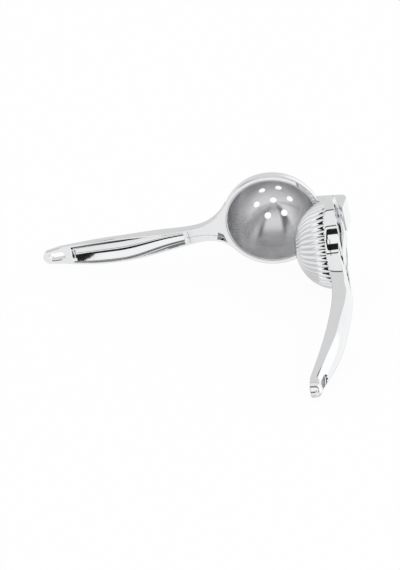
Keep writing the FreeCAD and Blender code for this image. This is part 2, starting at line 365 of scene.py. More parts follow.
def rounded(points: Profile, sizes: Iterable[float], steps: int = 4) -> Profile:
    """Closed outline with each corner rounded by its own size.

    Args:
        points: The outline's corners.
        sizes: How far from each corner its rounding starts, or 0 for a sharp one.
        steps: Number of pieces of each rounding.

    Returns:
        The outline's points.
    """
    corners = [Vector(point) for point in points]
    result = []
    count = len(corners)
    for index, size in enumerate(sizes):
        before, at, after = corners[index - 1], corners[index], corners[(index + 1) % count]
        if size <= 0.0:
            result.append((at.x, at.y))
            continue
        result += [(p.x, p.y) for p in corner(before, at, after, size, steps)]
    return result


def loft(sections: list[list[Vector]]) -> bmesh.types.BMesh:
    """Closed skin over rings of points, each with as many points as the first.

    Args:
        sections: The rings, from one end to the other.

    Returns:
        A mesh with both ends capped.
    """
    bm = bmesh.new()
    first = bmesh.ops.create_circle(bm, segments=len(sections[0]), radius=1.0, cap_ends=False)
    ring = first["verts"]
    for vert, place in zip(ring, sections[0]):
        vert.co = place
    start = list(ring)
    for section in sections[1:]:
        old = set(ring)
        edges = [edge for edge in {e for v in ring for e in v.link_edges} if set(edge.verts) <= old]
        made = bmesh.ops.extrude_edge_only(bm, edges=edges)["geom"]
        fresh = {item for item in made if isinstance(item, bmesh.types.BMVert)}
        moved = []
        for vert in ring:
            moved.append(next(e.other_vert(vert) for e in vert.link_edges if e.other_vert(vert) in fresh))
        for vert, place in zip(moved, section):
            vert.co = place
        ring = moved
    bm.faces.new(start)
    bm.faces.new(list(reversed(ring)))
    bmesh.ops.recalc_face_normals(bm, faces=bm.faces)
    return bm


def turned(profile: Profile, segments: int, closed: bool) -> bmesh.types.BMesh:
    """Mesh made by turning a (radius, height) outline about Z.

    Args:
        profile: The outline's points.
        segments: Number of steps round.
        closed: Whether the outline comes back to its start.

    Returns:
        The turned mesh, closed at the axis.
    """
    bm = bmesh.new()
    verts = [bm.verts.new((radius, 0.0, height)) for radius, height in profile]
    edges = [bm.edges.new(pair) for pair in zip(verts, verts[1:])]
    if closed:
        edges.append(bm.edges.new((verts[-1], verts[0])))
    bmesh.ops.spin(
        bm,
        geom=verts + edges,
        cent=(0, 0, 0),
        axis=(0, 0, 1),
        angle=math.tau,
        steps=segments,
        use_merge=True,
    )
    bmesh.ops.remove_doubles(bm, verts=bm.verts, dist=1e-4)
    bmesh.ops.recalc_face_normals(bm, faces=bm.faces)
    return bm


def prism(outline: list[Vector], way: Vector) -> tuple[bmesh.types.BMesh, list[bmesh.types.BMVert]]:
    """Flat outline drawn out straight.

    Args:
        outline: The points of one end.
        way: How far it is drawn out, and which way.

    Returns:
        The closed mesh, and the points of its other end.
    """
    bm = bmesh.new()
    face = bm.faces.new([bm.verts.new(point) for point in outline])
    made = bmesh.ops.extrude_face_region(bm, geom=[face])["geom"]
    moved = [item for item in made if isinstance(item, bmesh.types.BMVert)]
    bmesh.ops.translate(bm, verts=moved, vec=way)
    bmesh.ops.recalc_face_normals(bm, faces=bm.faces)
    return bm, moved


def soften(bm: bmesh.types.BMesh, edges: list[bmesh.types.BMEdge], size: float, segments: int) -> None:
    """Round some edges of a mesh.

    Args:
        bm: The mesh.
        edges: The edges to round.
        size: How far from each edge its rounding starts.
        segments: Number of pieces of the rounding.
    """
    bmesh.ops.bevel(
        bm,
        geom=edges,
        offset=size,
        affect="EDGES",
        segments=segments,
        profile=0.5,
        material=-1,
        clamp_overlap=True,
    )


def plate(outline: Profile, half_width: float, bevel: float = 0.0) -> bmesh.types.BMesh:
    """Plate that lies in the XZ plane.

    Args:
        outline: The plate's outline.
        half_width: How far it reaches to each side along Y.
        bevel: Size of the rounding of its side edges, or 0 for none.

    Returns:
        The closed plate.
    """
    start = [Vector((x, -half_width, z)) for x, z in outline]
    bm, _ = prism(start, Vector((0.0, 2.0 * half_width, 0.0)))
    if bevel > 0.0:
        flat = 1e-6
        sides = [e for e in bm.edges if abs(e.verts[0].co.y - e.verts[1].co.y) < flat]
        soften(bm, sides, bevel, segments=3)
    return bm


def rod(radius: float, half_length: float, place: Vector, axis: Vector, segments: int) -> bmesh.types.BMesh:
    """Round rod about a place, along an axis.

    Args:
        radius: Its radius.
        half_length: How far it reaches to each side of the place.
        place: Its middle.
        axis: The direction it lies in.
        segments: Number of steps round.

    Returns:
        The closed rod.
    """
    bm = bmesh.new()
    turn = Vector((0, 0, 1)).rotation_difference(axis).to_matrix().to_4x4()
    bmesh.ops.create_cone(
        bm,
        cap_ends=True,
        cap_tris=False,
        segments=segments,
        radius1=radius,
        radius2=radius,
        depth=2.0 * half_length,
        matrix=Matrix.Translation(place) @ turn,
    )
    return bm


def ball(radius: float, height: float) -> bmesh.types.BMesh:
    """Ball on the bowl's axis.

    Args:
        radius: Its radius.
        height: Height of its middle.

    Returns:
        The closed ball.
    """
    bm = bmesh.new()
    bmesh.ops.create_uvsphere(
        bm,
        u_segments=ROUND_STEPS,
        v_segments=ROUND_STEPS // 2,
        radius=radius,
        matrix=Matrix.Translation((0.0, 0.0, height)),
    )
    return bm


class Carving:
    """A mesh that other meshes are added to or cut out of."""

    def __init__(self, name: str, start: bmesh.types.BMesh) -> None:
        """Take over the first mesh.

        Args:
            name: Name of the finished piece.
            start: The mesh to begin with.
        """
        self.obj = self._object(name, start)

    @staticmethod
    def _object(name: str, bm: bmesh.types.BMesh) -> bpy.types.Object:
        """Make an object of a mesh.

        Args:
            name: Name of the object and its mesh.
            bm: The mesh, which is freed.

        Returns:
            The object, linked to the scene.
        """
        mesh = bpy.data.meshes.new(name)
        bm.to_mesh(mesh)
        bm.free()
        obj = bpy.data.objects.new(name, mesh)
        bpy.context.scene.collection.objects.link(obj)
        return obj

    def apply(self, cut: Cut, *tools: bmesh.types.BMesh) -> "Carving":
        """Add other meshes to this one, or cut them out of it, one after another.

        Args:
            cut: Whether the tools are added or removed.
            tools: The other meshes, which are freed.

        Returns:
            This carving.
        """
        for bm in tools:
            tool = self._object("tool", bm)
            modifier = self.obj.modifiers.new("cut", "BOOLEAN")
            modifier.operation = cut.value
            modifier.solver = "EXACT"
            modifier.object = tool
            graph = bpy.context.evaluated_depsgraph_get()
            mesh = bpy.data.meshes.new_from_object(self.obj.evaluated_get(graph))
            self.obj.modifiers.remove(modifier)
            old = self.obj.data
            self.obj.data = mesh
            bpy.data.meshes.remove(old)
            bpy.data.objects.remove(tool)
        return self

    def release(self) -> bmesh.types.BMesh:
        """Give the carved mesh back, to be used as a tool, and remove the object.

        Returns:
            The mesh.
        """
        bm = bmesh.new()
        bm.from_mesh(self.obj.data)
        bpy.data.objects.remove(self.obj)
        return bm

    def finish(self, matrix: Matrix, material: bpy.types.Material, sharp: float = 32.0) -> bpy.types.Object:
        """Lay the mesh in its place, shade it and give it its material.

        Args:
            matrix: Placement from the bowl's frame.
            material: The finish.
            sharp: Edges that bend by more than this, in degrees, stay crisp.

        Returns:
            The finished object, at the origin.
        """
        mesh = self.obj.data
        mesh.name = self.obj.name
        mesh.validate()
        mesh.transform(matrix)
        mesh.materials.clear()
        mesh.materials.append(material)
        mesh.shade_smooth()
        mesh.set_sharp_from_angle(angle=math.radians(sharp))
        self.obj.modifiers.new("even", "WEIGHTED_NORMAL").keep_sharp = True
        log.info("%s: %d faces", self.obj.name, len(mesh.polygons))
        return self.obj


# Finishes


class Nodes:
    """Short way to place and wire shader nodes in a tree."""

    def __init__(self, tree: bpy.types.NodeTree) -> None:
        """Keep the tree.

        Args:
            tree: The node tree to fill.
        """
        self.tree = tree

    def add(self, kind: str, **values: object) -> bpy.types.Node:
        """Add a node.

        Args:
            kind: Blender's name for this kind of node.
            values: The node's own properties, by name.

        Returns:
            The node.
        """
        node = self.tree.nodes.new(kind)
        for key, value in values.items():
            setattr(node, key, value)
        return node

    def link(self, source: bpy.types.NodeSocket, target: bpy.types.NodeSocket) -> None:
        """Wire a socket to another."""
        self.tree.links.new(source, target)

    def math(self, operation: str, *values: object, clamp: bool = False) -> bpy.types.NodeSocket:
        """Add a math node.

        Args:
            operation: What it works out.
            values: A socket or a plain number for each input.
            clamp: Whether the result is kept between 0 and 1.

        Returns:
            The result.
        """
        node = self.add("ShaderNodeMath", operation=operation, use_clamp=clamp)
        for index, value in enumerate(values):
            self.feed(value, node.inputs[index])
        return node.outputs[0]

    def vector(self, operation: str, *values: object) -> bpy.types.Node:
        """Add a vector math node.

        Args:
            operation: What it works out.
            values: A socket or a plain vector for each input.

        Returns:
            The node.
        """
        node = self.add("ShaderNodeVectorMath", operation=operation)
        for index, value in enumerate(values):
            self.feed(value, node.inputs[index])
        return node

    def feed(self, value: object, socket: bpy.types.NodeSocket) -> None:
        """Wire a socket, or set a plain value.

        Args:
            value: The socket to wire from, or the plain value.
            socket: The input that takes it.
        """
        if isinstance(value, bpy.types.NodeSocket):
            self.link(value, socket)
        else:
            socket.default_value = value

    def noise(self, where: bpy.types.NodeSocket, scale: float, detail: float) -> bpy.types.NodeSocket:
        """Add noise that changes over a place.

        Args:
            where: The place.
            scale: How fine the noise is.
            detail: Number of finer layers in it.

        Returns:
            A value from 0 to 1.
        """
        node = self.add("ShaderNodeTexNoise")
        node.inputs["Scale"].default_value = scale
        node.inputs["Detail"].default_value = detail
        self.link(where, node.inputs["Vector"])
        return node.outputs["Fac"]

    def remap(
        self, value: object, low: float, high: float, to_low: float, to_high: float
    ) -> bpy.types.NodeSocket:
        """Move a value from one range to another, eased and kept inside it.

        Args:
            value: The socket or number.
            low: Start of its range.
            high: End of its range.
            to_low: What the start becomes.
            to_high: What the end becomes.

        Returns:
            The moved value.
        """
        node = self.add("ShaderNodeMapRange", interpolation_type="SMOOTHSTEP")
        self.feed(value, node.inputs["Value"])
        names = ("From Min", "From Max", "To Min", "To Max")
        for name, number in zip(names, (low, high, to_low, to_high)):
            node.inputs[name].default_value = number
        return node.outputs["Result"]

    def blend(self, share: bpy.types.NodeSocket, first: object, second: object) -> bpy.types.NodeSocket:
        """Mix two values.

        Args:
            share: How much of the second there is, from 0 to 1.
            first: A socket or number.
            second: A socket or number.

        Returns:
            The mixed value.
        """
        node = self.add("ShaderNodeMix", data_type="FLOAT")
        for value, socket in zip((share, first, second), (node.inputs[0], node.inputs[2], node.inputs[3])):
            self.feed(value, socket)
        return node.outputs[0]

    def shaded(self, value: object, mask: bpy.types.NodeSocket, share: float) -> bpy.types.NodeSocket:
        """Make a value smaller where a mask is set.

        Args:
            value: The socket or number.
            mask: 0 where the value stays, 1 where it is made smaller.
            share: How much of the value is taken off there.

        Returns:
            The value after that.
        """
        left = self.math("SUBTRACT", 1.0, self.math("MULTIPLY", mask, share))
        return self.math("MULTIPLY", value, left)


class SurfaceGroups:
    """Effects that more than one finish uses, each built once."""

    SCUFF_SCALE = (220.0, 1600.0, 260.0)
    SCUFF_HAZE = 0.06
    SCUFF_DEPTH = 0.03
    FINE_HEIGHT = 0.04
    ROUND_SCALE = 0.0004
    GRAIN_DETAIL = 3.0
    GRAIN_MIDDLE = 0.6
    BLOTCH_HAZE = 0.05
    BROAD_HEIGHT = 1.2

    def __init__(self) -> None:
        """Build both groups."""
        self.polish = self._polish()
        self.turning = self._turning()

    @staticmethod
    def _start(
        name: str, **values: float
    ) -> tuple[Nodes, bpy.types.bpy_prop_collection, bpy.types.bpy_prop_collection]:
        """Begin a group that reads a place and puts out roughness, height and shade.

        Args:
            name: Name of the group.
            values: Starting values of its other inputs, by name.

        Returns:
            Its nodes, the sockets that it is given, and those that it puts out.
        """
        group = bpy.data.node_groups.new(name, "ShaderNodeTree")
        sockets = group.interface
        sockets.new_socket("Place", in_out="INPUT", socket_type="NodeSocketVector")
        for key, value in values.items():
            socket = sockets.new_socket(key, in_out="INPUT", socket_type="NodeSocketFloat")
            socket.default_value = value
        for key in ("Roughness", "Height", "Shade"):
            sockets.new_socket(key, in_out="OUTPUT", socket_type="NodeSocketFloat")
        kit = Nodes(group)
        return kit, kit.add("NodeGroupInput").outputs, kit.add("NodeGroupOutput").inputs

    def _polish(self) -> bpy.types.NodeTree:
        """Haze, fine scuffs and the slight waviness of a polished casting.

        Returns:
            The group.
        """
        kit, given, out = self._start("polish_haze", Gloss=0.05, Haze=0.04, Scuffs=0.3, Tint=0.04)
        cloud = kit.noise(given["Place"], scale=55.0, detail=4.0)
        fine = kit.noise(given["Place"], scale=900.0, detail=3.0)
        stretch = kit.add("ShaderNodeMapping")
        kit.link(given["Place"], stretch.inputs["Vector"])
        stretch.inputs["Scale"].default_value = self.SCUFF_SCALE
        lines = kit.noise(stretch.outputs["Vector"], scale=1.0, detail=5.0)
        scuff = kit.remap(lines, low=0.60, high=0.74, to_low=0.0, to_high=1.0)
        scuff = kit.math("MULTIPLY", scuff, given["Scuffs"])
        patches = kit.remap(cloud, low=0.35, high=0.75, to_low=0.0, to_high=1.0)
        rough = kit.math("MULTIPLY_ADD", patches, given["Haze"], given["Gloss"])
        rough = kit.math("MULTIPLY_ADD", scuff, self.SCUFF_HAZE, rough, clamp=True)
        kit.link(rough, out["Roughness"])
        height = kit.math("MULTIPLY_ADD", fine, self.FINE_HEIGHT, cloud)
        kit.link(kit.math("MULTIPLY_ADD", scuff, -self.SCUFF_DEPTH, height), out["Height"])
        stain = kit.remap(cloud, low=0.3, high=0.8, to_low=0.0, to_high=1.0)
        shade = kit.math("MULTIPLY", stain, given["Tint"])
        kit.link(kit.math("SUBTRACT", 1.0, shade), out["Shade"])
        return kit.tree

    def _turning(self) -> bpy.types.NodeTree:
        """Fine rings of a surface that was ground while it turned about the bowl's axis.

        Returns:
            The group.
        """
        kit, given, out = self._start("turned_grain", Fineness=5000.0, Gloss=0.3, Spread=0.1)
        apart = kit.add("ShaderNodeSeparateXYZ")
        kit.link(given["Place"], apart.inputs["Vector"])
        x, y, z = apart.outputs
        radius = kit.math("SQRT", kit.math("ADD", kit.math("MULTIPLY", x, x), kit.math("MULTIPLY", y, y)))
        around = kit.math("MULTIPLY", kit.math("ARCTAN2", y, x), self.ROUND_SCALE)
        rings = kit.add("ShaderNodeCombineXYZ")
        for source, target in zip((radius, z, around), rings.inputs):
            kit.link(source, target)
        node = kit.add("ShaderNodeTexNoise")
        node.inputs["Detail"].default_value = self.GRAIN_DETAIL
        kit.link(given["Fineness"], node.inputs["Scale"])
        kit.link(rings.outputs["Vector"], node.inputs["Vector"])
        grain = node.outputs["Fac"]
        broad = kit.noise(rings.outputs["Vector"], scale=420.0, detail=2.0)
        blotch = kit.noise(given["Place"], scale=90.0, detail=3.0)
        mixed = kit.math("MULTIPLY_ADD", broad, 0.7, kit.math("MULTIPLY", grain, 0.5))
        uneven = kit.math("SUBTRACT", mixed, self.GRAIN_MIDDLE)
        rough = kit.math("MULTIPLY_ADD", uneven, given["Spread"], given["Gloss"])
        rough = kit.math("MULTIPLY_ADD", blotch, self.BLOTCH_HAZE, rough, clamp=True)
        kit.link(rough, out["Roughness"])
        kit.link(kit.math("MULTIPLY_ADD", broad, self.BROAD_HEIGHT, grain), out["Height"])
        shade = kit.remap(mixed, low=0.35, high=0.85, to_low=0.93, to_high=1.0)
        kit.link(shade, out["Shade"])
        return kit.tree


@dataclass(frozen=True)
class MetalFinish:
    """A metal surface: its colour, gloss and the marks of how it was finished."""

    name: str
    colour: tuple[float, float, float]
    gloss: float
    haze: float
    bump: float
    depth: float
    turned_grain: bool = False
    grain_stretch: float = 0.95

    def build(self, groups: SurfaceGroups) -> bpy.types.Material:
        """Make the material.

        Args:
            groups: The shared effects.

        Returns:
            A material that reads Object coordinates, turned to the bowl's frame.
        """
        material = bpy.data.materials.new(self.name)
        material.use_nodes = True
        material.diffuse_color = (*self.colour, 1.0)
        kit = Nodes(material.node_tree)
        shader = material.node_tree.nodes["Principled BSDF"]
        shader.inputs["Metallic"].default_value = 1.0
        where = kit.add("ShaderNodeTexCoord").outputs["Object"]
        local = kit.add("ShaderNodeMapping", vector_type="TEXTURE")
        local.inputs["Location"].default_value = PLACEMENT.matrix.translation
        local.inputs["Rotation"].default_value = PLACEMENT.matrix.to_euler()
        kit.link(where, local.inputs["Vector"])
        effect = kit.add("ShaderNodeGroup")
        effect.node_tree = groups.turning if self.turned_grain else groups.polish
        kit.link(local.outputs["Vector"], effect.inputs["Place"])
        effect.inputs["Gloss"].default_value = self.gloss
        effect.inputs["Spread" if self.turned_grain else "Haze"].default_value = self.haze
        kit.link(effect.outputs["Roughness"], shader.inputs["Roughness"])
        colour = kit.add("ShaderNodeMix", data_type="RGBA", blend_type="MULTIPLY")
        colour.inputs["Factor"].default_value = 1.0
        colour.inputs["A"].default_value = (*self.colour, 1.0)
        kit.link(effect.outputs["Shade"], colour.inputs["B"])
        kit.link(colour.outputs["Result"], shader.inputs["Base Color"])
        bump = kit.add("ShaderNodeBump")
        bump.inputs["Strength"].default_value = self.bump
        bump.inputs["Distance"].default_value = self.depth
        kit.link(effect.outputs["Height"], bump.inputs["Height"])
        kit.link(bump.outputs["Normal"], shader.inputs["Normal"])
        if self.turned_grain:
            shader.inputs["Anisotropic"].default_value = self.grain_stretch
            kit.link(self._outward(kit, where), shader.inputs["Tangent"])
        return material

    @staticmethod
    def _outward(kit: Nodes, where: bpy.types.NodeSocket) -> bpy.types.NodeSocket:
        """Direction away from the bowl's axis, along which turned grain spreads a reflection.

        Args:
            kit: The material's nodes.
            where: The place on the surface.

        Returns:
            The direction.
        """
        axis = PLACEMENT.direction((0.0, 0.0, 1.0))
        apart = kit.vector("SUBTRACT", where, PLACEMENT.matrix.translation).outputs["Vector"]
        height = kit.vector("DOT_PRODUCT", apart, axis).outputs["Value"]
        along = kit.add("ShaderNodeVectorMath", operation="SCALE")
        along.inputs[0].default_value = axis
        kit.link(height, along.inputs["Scale"])
        return kit.vector("SUBTRACT", apart, along.outputs["Vector"]).outputs["Vector"]


CAST_CHROME = MetalFinish(
    name="cast_chrome",
    colour=(0.90, 0.905, 0.915),
    gloss=0.035,
    haze=0.035,
    bump=0.25,
    depth=0.00006,
)
SATIN_STEEL = MetalFinish(
    name="satin_steel",
    colour=(0.79, 0.79, 0.805),
    gloss=0.22,
    haze=0.12,
    bump=0.3,
    depth=0.00002,
    turned_grain=True,
)
GROUND_STEEL = MetalFinish(
    name="pin_steel",
    colour=(0.86, 0.865, 0.875),
    gloss=0.08,
    haze=0.06,
    bump=0.2,
    depth=0.00003,
)


# Handles


class Handle:
    """A channelled handle of either arm, with its neck pocket and hanging slot."""

    def __init__(self, arm: ArmSizes, sizes: HandleSizes = HANDLE) -> None:
        """Keep the sizes.

        Args:
            arm: What is this arm's own.
            sizes: What both arms share.
        """
        self.arm = arm
        self.sizes = sizes
        s = sizes
        spare = s.neck_at**2 + s.neck_half**2 - arm.root_radius**2
        self.flare = spare / (2.0 * (arm.root_radius - s.neck_half))
        self.start = arm.root_radius * s.neck_at / (arm.root_radius + self.flare)

    def half_width(self, place: float) -> float:
        """Half the width in plan, with the tip rounded off.

        Args:
            place: Distance from the bowl's axis.

        Returns:
            The half width.
        """
        s = self.sizes
        if place < s.neck_at:
            return s.neck_half + self.flare - math.sqrt(self.flare**2 - (s.neck_at - place) ** 2)
        if place < s.widest_at:
            return eased(place, [(s.neck_at, s.neck_half), (s.widest_at, s.grip_half)])
        tip = s.reach - s.tip_radius
        if place > tip:
            return math.sqrt(max(0.0, s.tip_radius**2 - (place - tip) ** 2))
        taper = (place - s.widest_at) / (tip - s.widest_at)
        return s.grip_half - (s.grip_half - s.tip_radius) * taper**2

    def edge(self, place: float) -> float:
        """Height of the open edge."""
        arch = self.arm.crest - (place - self.sizes.arch_at) ** 2 / (2.0 * self.sizes.arch_radius)
        return max(self.arm.front, arch)

    def channel(self, place: float) -> float:
        """How much of its full depth the channel has.

        Args:
            place: Distance from the bowl's axis.

        Returns:
            A share from 0 to 1.
        """
        s = self.sizes
        up = eased(place, [(s.channel_start, 0.0), (s.channel_start + s.channel_rise, 1.0)])
        down = eased(place, [(s.channel_end - s.channel_rise, 1.0), (s.channel_end, 0.0)])
        return min(up, down)

    def nose(self, place: float, size: float) -> float:
        """How far a rounding of the tip has drawn in a side here."""
        inside = place - (self.sizes.reach - size)
        return size - math.sqrt(max(0.0, size**2 - inside**2)) if inside > 0.0 else 0.0

    def ring(self, place: float) -> list[Vector]:
        """Closed ring of points across the handle, round its outside and through its channel.

        Args:
            place: Distance from the bowl's axis.

        Returns:
            The ring's points.
        """
        s = self.sizes
        half = max(self.half_width(place), s.least_half)
        depth = eased(place, self.arm.depths)
        bulge = min(s.crown, s.crown_share * depth)
        bulge *= eased(place, [(s.root_at, self.arm.root_crown), (s.channel_start, 1.0)])
        wall = depth - bulge
        draft = math.tan(math.radians(s.draft))
        lean = draft * eased(place, [(s.root_at, 0.0), (s.neck_at, 1.0)])
        foot = max(half - wall * lean, s.least_share * half)
        inner = max(half - s.flange, s.least_share * half)
        inner_depth = depth - s.channel_floor
        inner_bulge = min(s.channel_round * min(inner, inner_depth), s.channel_bow * inner)
        inner_wall = inner_depth - inner_bulge
        inner_foot = inner - inner_wall * draft
        lip = Vector((half, 0.0))
        heel = Vector((foot, wall))
        back = self._bow(foot, wall, depth, steps=8)
        floor = self._bow(inner_foot, inner_wall, inner_depth, steps=8)
        inner_lip = Vector((inner, 0.0))
        inner_heel = Vector((inner_foot, inner_wall))
        side: list[Vector] = [*back[:-1]]
        side += corner(back[-2], heel, lip, s.heel_round, steps=4)
        side += [heel.lerp(lip, share) for share in WALL_SHARES]
        run = eased(place, [(s.lip_at, self.arm.lip_run), (s.neck_at, s.lip_round)])
        side += corner(heel, lip, inner_lip, run, steps=6, far=s.lip_inward)
        inside = corner(lip, inner_lip, inner_heel, s.inner_round, steps=3)
        inside += [inner_lip.lerp(inner_heel, share) for share in WALL_SHARES]
        inside += list(reversed(floor))
        share = self.channel(place)
        side += [Vector((point.x, point.y * share)) for point in inside]
        points = side + [Vector((-point.x, point.y)) for point in reversed(side[1:-1])]
        top = self.edge(place) - (s.root_sink if place < s.neck_at else 0.0)
        drawn_back = self.nose(place, s.nose_back)
        drawn_front = self.nose(place, s.nose_front)
        facing = self.arm.arm.value
        ring = []
        for point in points:
            height = drawn_front + point.y * (depth - drawn_back - drawn_front) / depth
            ring.append(Vector((place, point.x, top + facing * height)))
        return ring

    @staticmethod
    def _bow(half: float, start: float, end: float, steps: int) -> list[Vector]:
        """Points of an arc from the middle line to the side, over a chord.

        Args:
            half: Where the arc ends, to the side.
            start: Its height at the side.
            end: Its height in the middle.
            steps: Number of pieces.

        Returns:
            The arc's points, from the middle out.
        """
        rise = end - start
        radius = (half**2 + rise**2) / (2.0 * rise)
        reach = math.asin(min(1.0, half / radius))
        if rise > radius:
            reach = math.pi - reach
        points = []
        for turn in spread(0.0, reach, steps):
            points.append(Vector((radius * math.sin(turn), end - radius + radius * math.cos(turn))))
        return points

    def body(self) -> bmesh.types.BMesh:
        """The handle from the rim to its rounded tip, with its channel.

        Returns:
            The handle's mesh.
        """
        s = self.sizes
        tip = s.reach - s.tip_radius
        stretches = [
            (self.start, s.neck_at, 24),
            (s.neck_at, s.channel_start, 8),
            (s.channel_start, s.channel_start + s.channel_rise, 8),
            (s.channel_start + s.channel_rise, s.channel_end - s.channel_rise, 60),
            (s.channel_end - s.channel_rise, s.channel_end, 8),
            (s.channel_end, tip, 12),
        ]
        places = [self.start]
        for start, end, steps in stretches:
            places += spread(start, end, steps)[1:]
        for turn in spread(0.0, math.radians(s.tip_turn), 16)[1:]:
            places.append(tip + s.tip_radius * math.sin(turn))
        return loft([self.ring(place) for place in places])

    def pocket(self) -> bmesh.types.BMesh:
        """Cutter for the fan-shaped pocket between the rim and the grip.

        Returns:
            The cutter.
        """
        s = self.sizes
        side = self.flare + s.flange
        middle = Vector((s.neck_at, s.neck_half + self.flare))
        near = self.arm.root_radius + s.pocket_border
        reach = near**2 + middle.length_squared - side**2
        turn = math.atan2(middle.y, middle.x) - math.acos(reach / (2.0 * near * middle.length))
        outline = [Vector((near * math.cos(t), near * math.sin(t))) for t in spread(turn, -turn, 24)]
        lean = math.atan2(near * math.sin(turn) - middle.y, near * math.cos(turn) - middle.x)
        flank = []
        for t in spread(-math.pi / 2, lean, 12):
            flank.append(middle + Vector((side * math.cos(t), side * math.sin(t))))
        outline += [Vector((p.x, -p.y)) for p in reversed(flank[:-1])]
        outline += [Vector((s.pocket_end, -(s.neck_half - s.flange)))]
        outline += [Vector((s.pocket_end, s.neck_half - s.flange))]
        outline += flank[:-1]
        facing = self.arm.arm.value
        open_side = self.arm.front - facing * s.pocket_clear
        start = [Vector((p.x, p.y, open_side)) for p in outline]
        bm, far = prism(start, Vector((0.0, 0.0, facing * (s.pocket_clear + s.pocket_depth))))
        floor = [e for e in bm.edges if e.verts[0] in far and e.verts[1] in far]
        soften(bm, floor, s.pocket_round, segments=6)
        return bm

    def slot(self) -> bmesh.types.BMesh:
        """Cutter for the hanging slot, flared a little at both faces.

        Returns:
            The cutter.
        """
        s = self.sizes
        centre = s.reach - s.slot_from_tip
        radius = s.slot_width / 2.0
        half = s.slot_length / 2.0 - radius
        top = self.edge(centre)
        depth = eased(centre, self.arm.depths)
        facing = self.arm.arm.value
        levels = [
            (-s.slot_clear, s.slot_flare),
            (0.0, s.slot_flare),
            (s.slot_flare_depth, 0.0),
            (depth - s.slot_flare_depth, 0.0),
            (depth, s.slot_flare),
            (depth + s.slot_clear, s.slot_flare),
        ]
        rings = []
        for level, grow in levels:
            ring = []
            for end, first in ((1, -90.0), (-1, 90.0)):
                for t in spread(math.radians(first), math.radians(first + 180.0), 20):
                    reach = radius + grow
                    ring.append((centre + end * half + reach * math.cos(t), reach * math.sin(t)))
            rings.append([Vector((x, y, top + facing * level)) for x, y in ring])
        return loft(rings)


# Pieces


@dataclass
class LowerArm:
    """Lower casting: rim, neck, handle and hinge fork."""

    bowl: BowlSizes = field(default_factory=lambda: BOWL)
    hinge: HingeSizes = field(default_factory=lambda: HINGE)
    edge_round: float = 0.8
    foot_round: float = 1.5
    heel_round: float = 2.2
    wall_round: float = 0.8
    side_round: float = 1.1

    def rim(self) -> bmesh.types.BMesh:
        """Ring that holds the cup, with a flat face and a rounded outside.

        Returns:
            The ring's mesh.
        """
        b = self.bowl
        inner = b.cup_radius + b.cup_wall - b.rim_face
        outer = math.hypot(b.rim_radius, b.centre)
        turns = spread(math.asin(-b.centre / outer), math.asin((-b.rim_height - b.centre) / outer), 10)
        flank = [(outer * math.cos(t), b.centre + outer * math.sin(t)) for t in turns]
        profile = [(inner, 0.0)]
        top = Vector((b.rim_radius, 0.0))
        rounding = corner(Vector((inner, 0.0)), top, Vector(flank[2]), self.edge_round, steps=5)
        profile += [(p.x, p.y) for p in rounding] + flank[2:-2]
        foot = Vector(flank[-1])
        low = Vector((inner, -b.rim_height))
        rounding = corner(Vector(flank[-3]), foot, low, self.foot_round, steps=5)
        profile += [(p.x, p.y) for p in rounding] + [(inner, -b.rim_height)]
        return turned(profile, ROUND_STEPS, closed=True)

    def fork(self) -> bmesh.types.BMesh:
        """Two ears and the end wall, before the slot is cut.

        Returns:
            The fork's mesh.
        """
        h = self.hinge
        wall_x = PIN_X - h.wall_out
        heel_x = PIN_X - h.heel_out
        root_x = -(self.bowl.cup_radius + self.bowl.cup_wall)
        boss = []
        for t in spread(math.radians(h.boss_end), 0.0, 20):
            boss.append((PIN_X + h.boss_radius * math.cos(t), PIN_Z + h.boss_radius * math.sin(t)))
        corners = [
            (PIN_X + h.boss_radius, 0.0),
            (root_x, 0.0),
            (root_x, -h.base_drop),
            (heel_x + h.wall, -h.base_drop + h.base_rise),
            (heel_x, PIN_Z - h.heel_drop),
            (wall_x, h.wall_top),
            (wall_x + h.wall, h.wall_top),
        ]
        points = corners + boss[:-1]
        sizes = [0.0] * 3 + [self.heel_round] * 2 + [self.wall_round] * 2 + [0.0] * (len(boss) - 1)
        return plate(rounded(points, sizes, 5), h.fork_half, self.side_round)

    def fork_slot(self) -> bmesh.types.BMesh:
        """Cutter for the slot that takes the upper arm's eye.

        Returns:
            The cutter, which stays outside the rim.
        """
        h = self.hinge
        far = 60.0
        wall_x = PIN_X - h.wall_out + h.wall
        heel_x = PIN_X - h.heel_out + h.wall
        near_x = -(self.bowl.cup_radius + self.bowl.cup_wall)
        outline = [
            (near_x, far),
            (wall_x, far),
            (wall_x, h.wall_top),
            (heel_x, PIN_Z - h.heel_drop),
            (heel_x, -far),
            (near_x, -far),
        ]
        slot = Carving("fork_slot", plate(outline, PRESS.spine_half + h.side_gap))
        rim = rod(self.bowl.rim_radius, SEAT_REACH, UP * -SEAT_REACH, UP, ROUND_STEPS)
        return slot.apply(Cut.REMOVE, rim).release()

    def build(self, finish: bpy.types.Material) -> bpy.types.Object:
        """Make the piece and set it on its body.

        Args:
            finish: The piece's finish.

        Returns:
            The finished piece.
        """
        b = self.bowl
        handle = Handle(LOWER)
        work = Carving("lower_arm_casting", self.rim())
        work.apply(Cut.ADD, handle.body(), self.fork())
        work.apply(
            Cut.REMOVE,
            ball(b.ball + b.cup_wall + b.seat_gap, b.centre),
            handle.pocket(),
            handle.slot(),
            self.fork_slot(),
            rod(self.hinge.pin_radius, BORE_REACH, PIN, ACROSS, BORE_STEPS),
        )
        piece = work.finish(PLACEMENT.matrix, finish)
        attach(piece, "lower")
        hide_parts("lower_arm")
        return piece


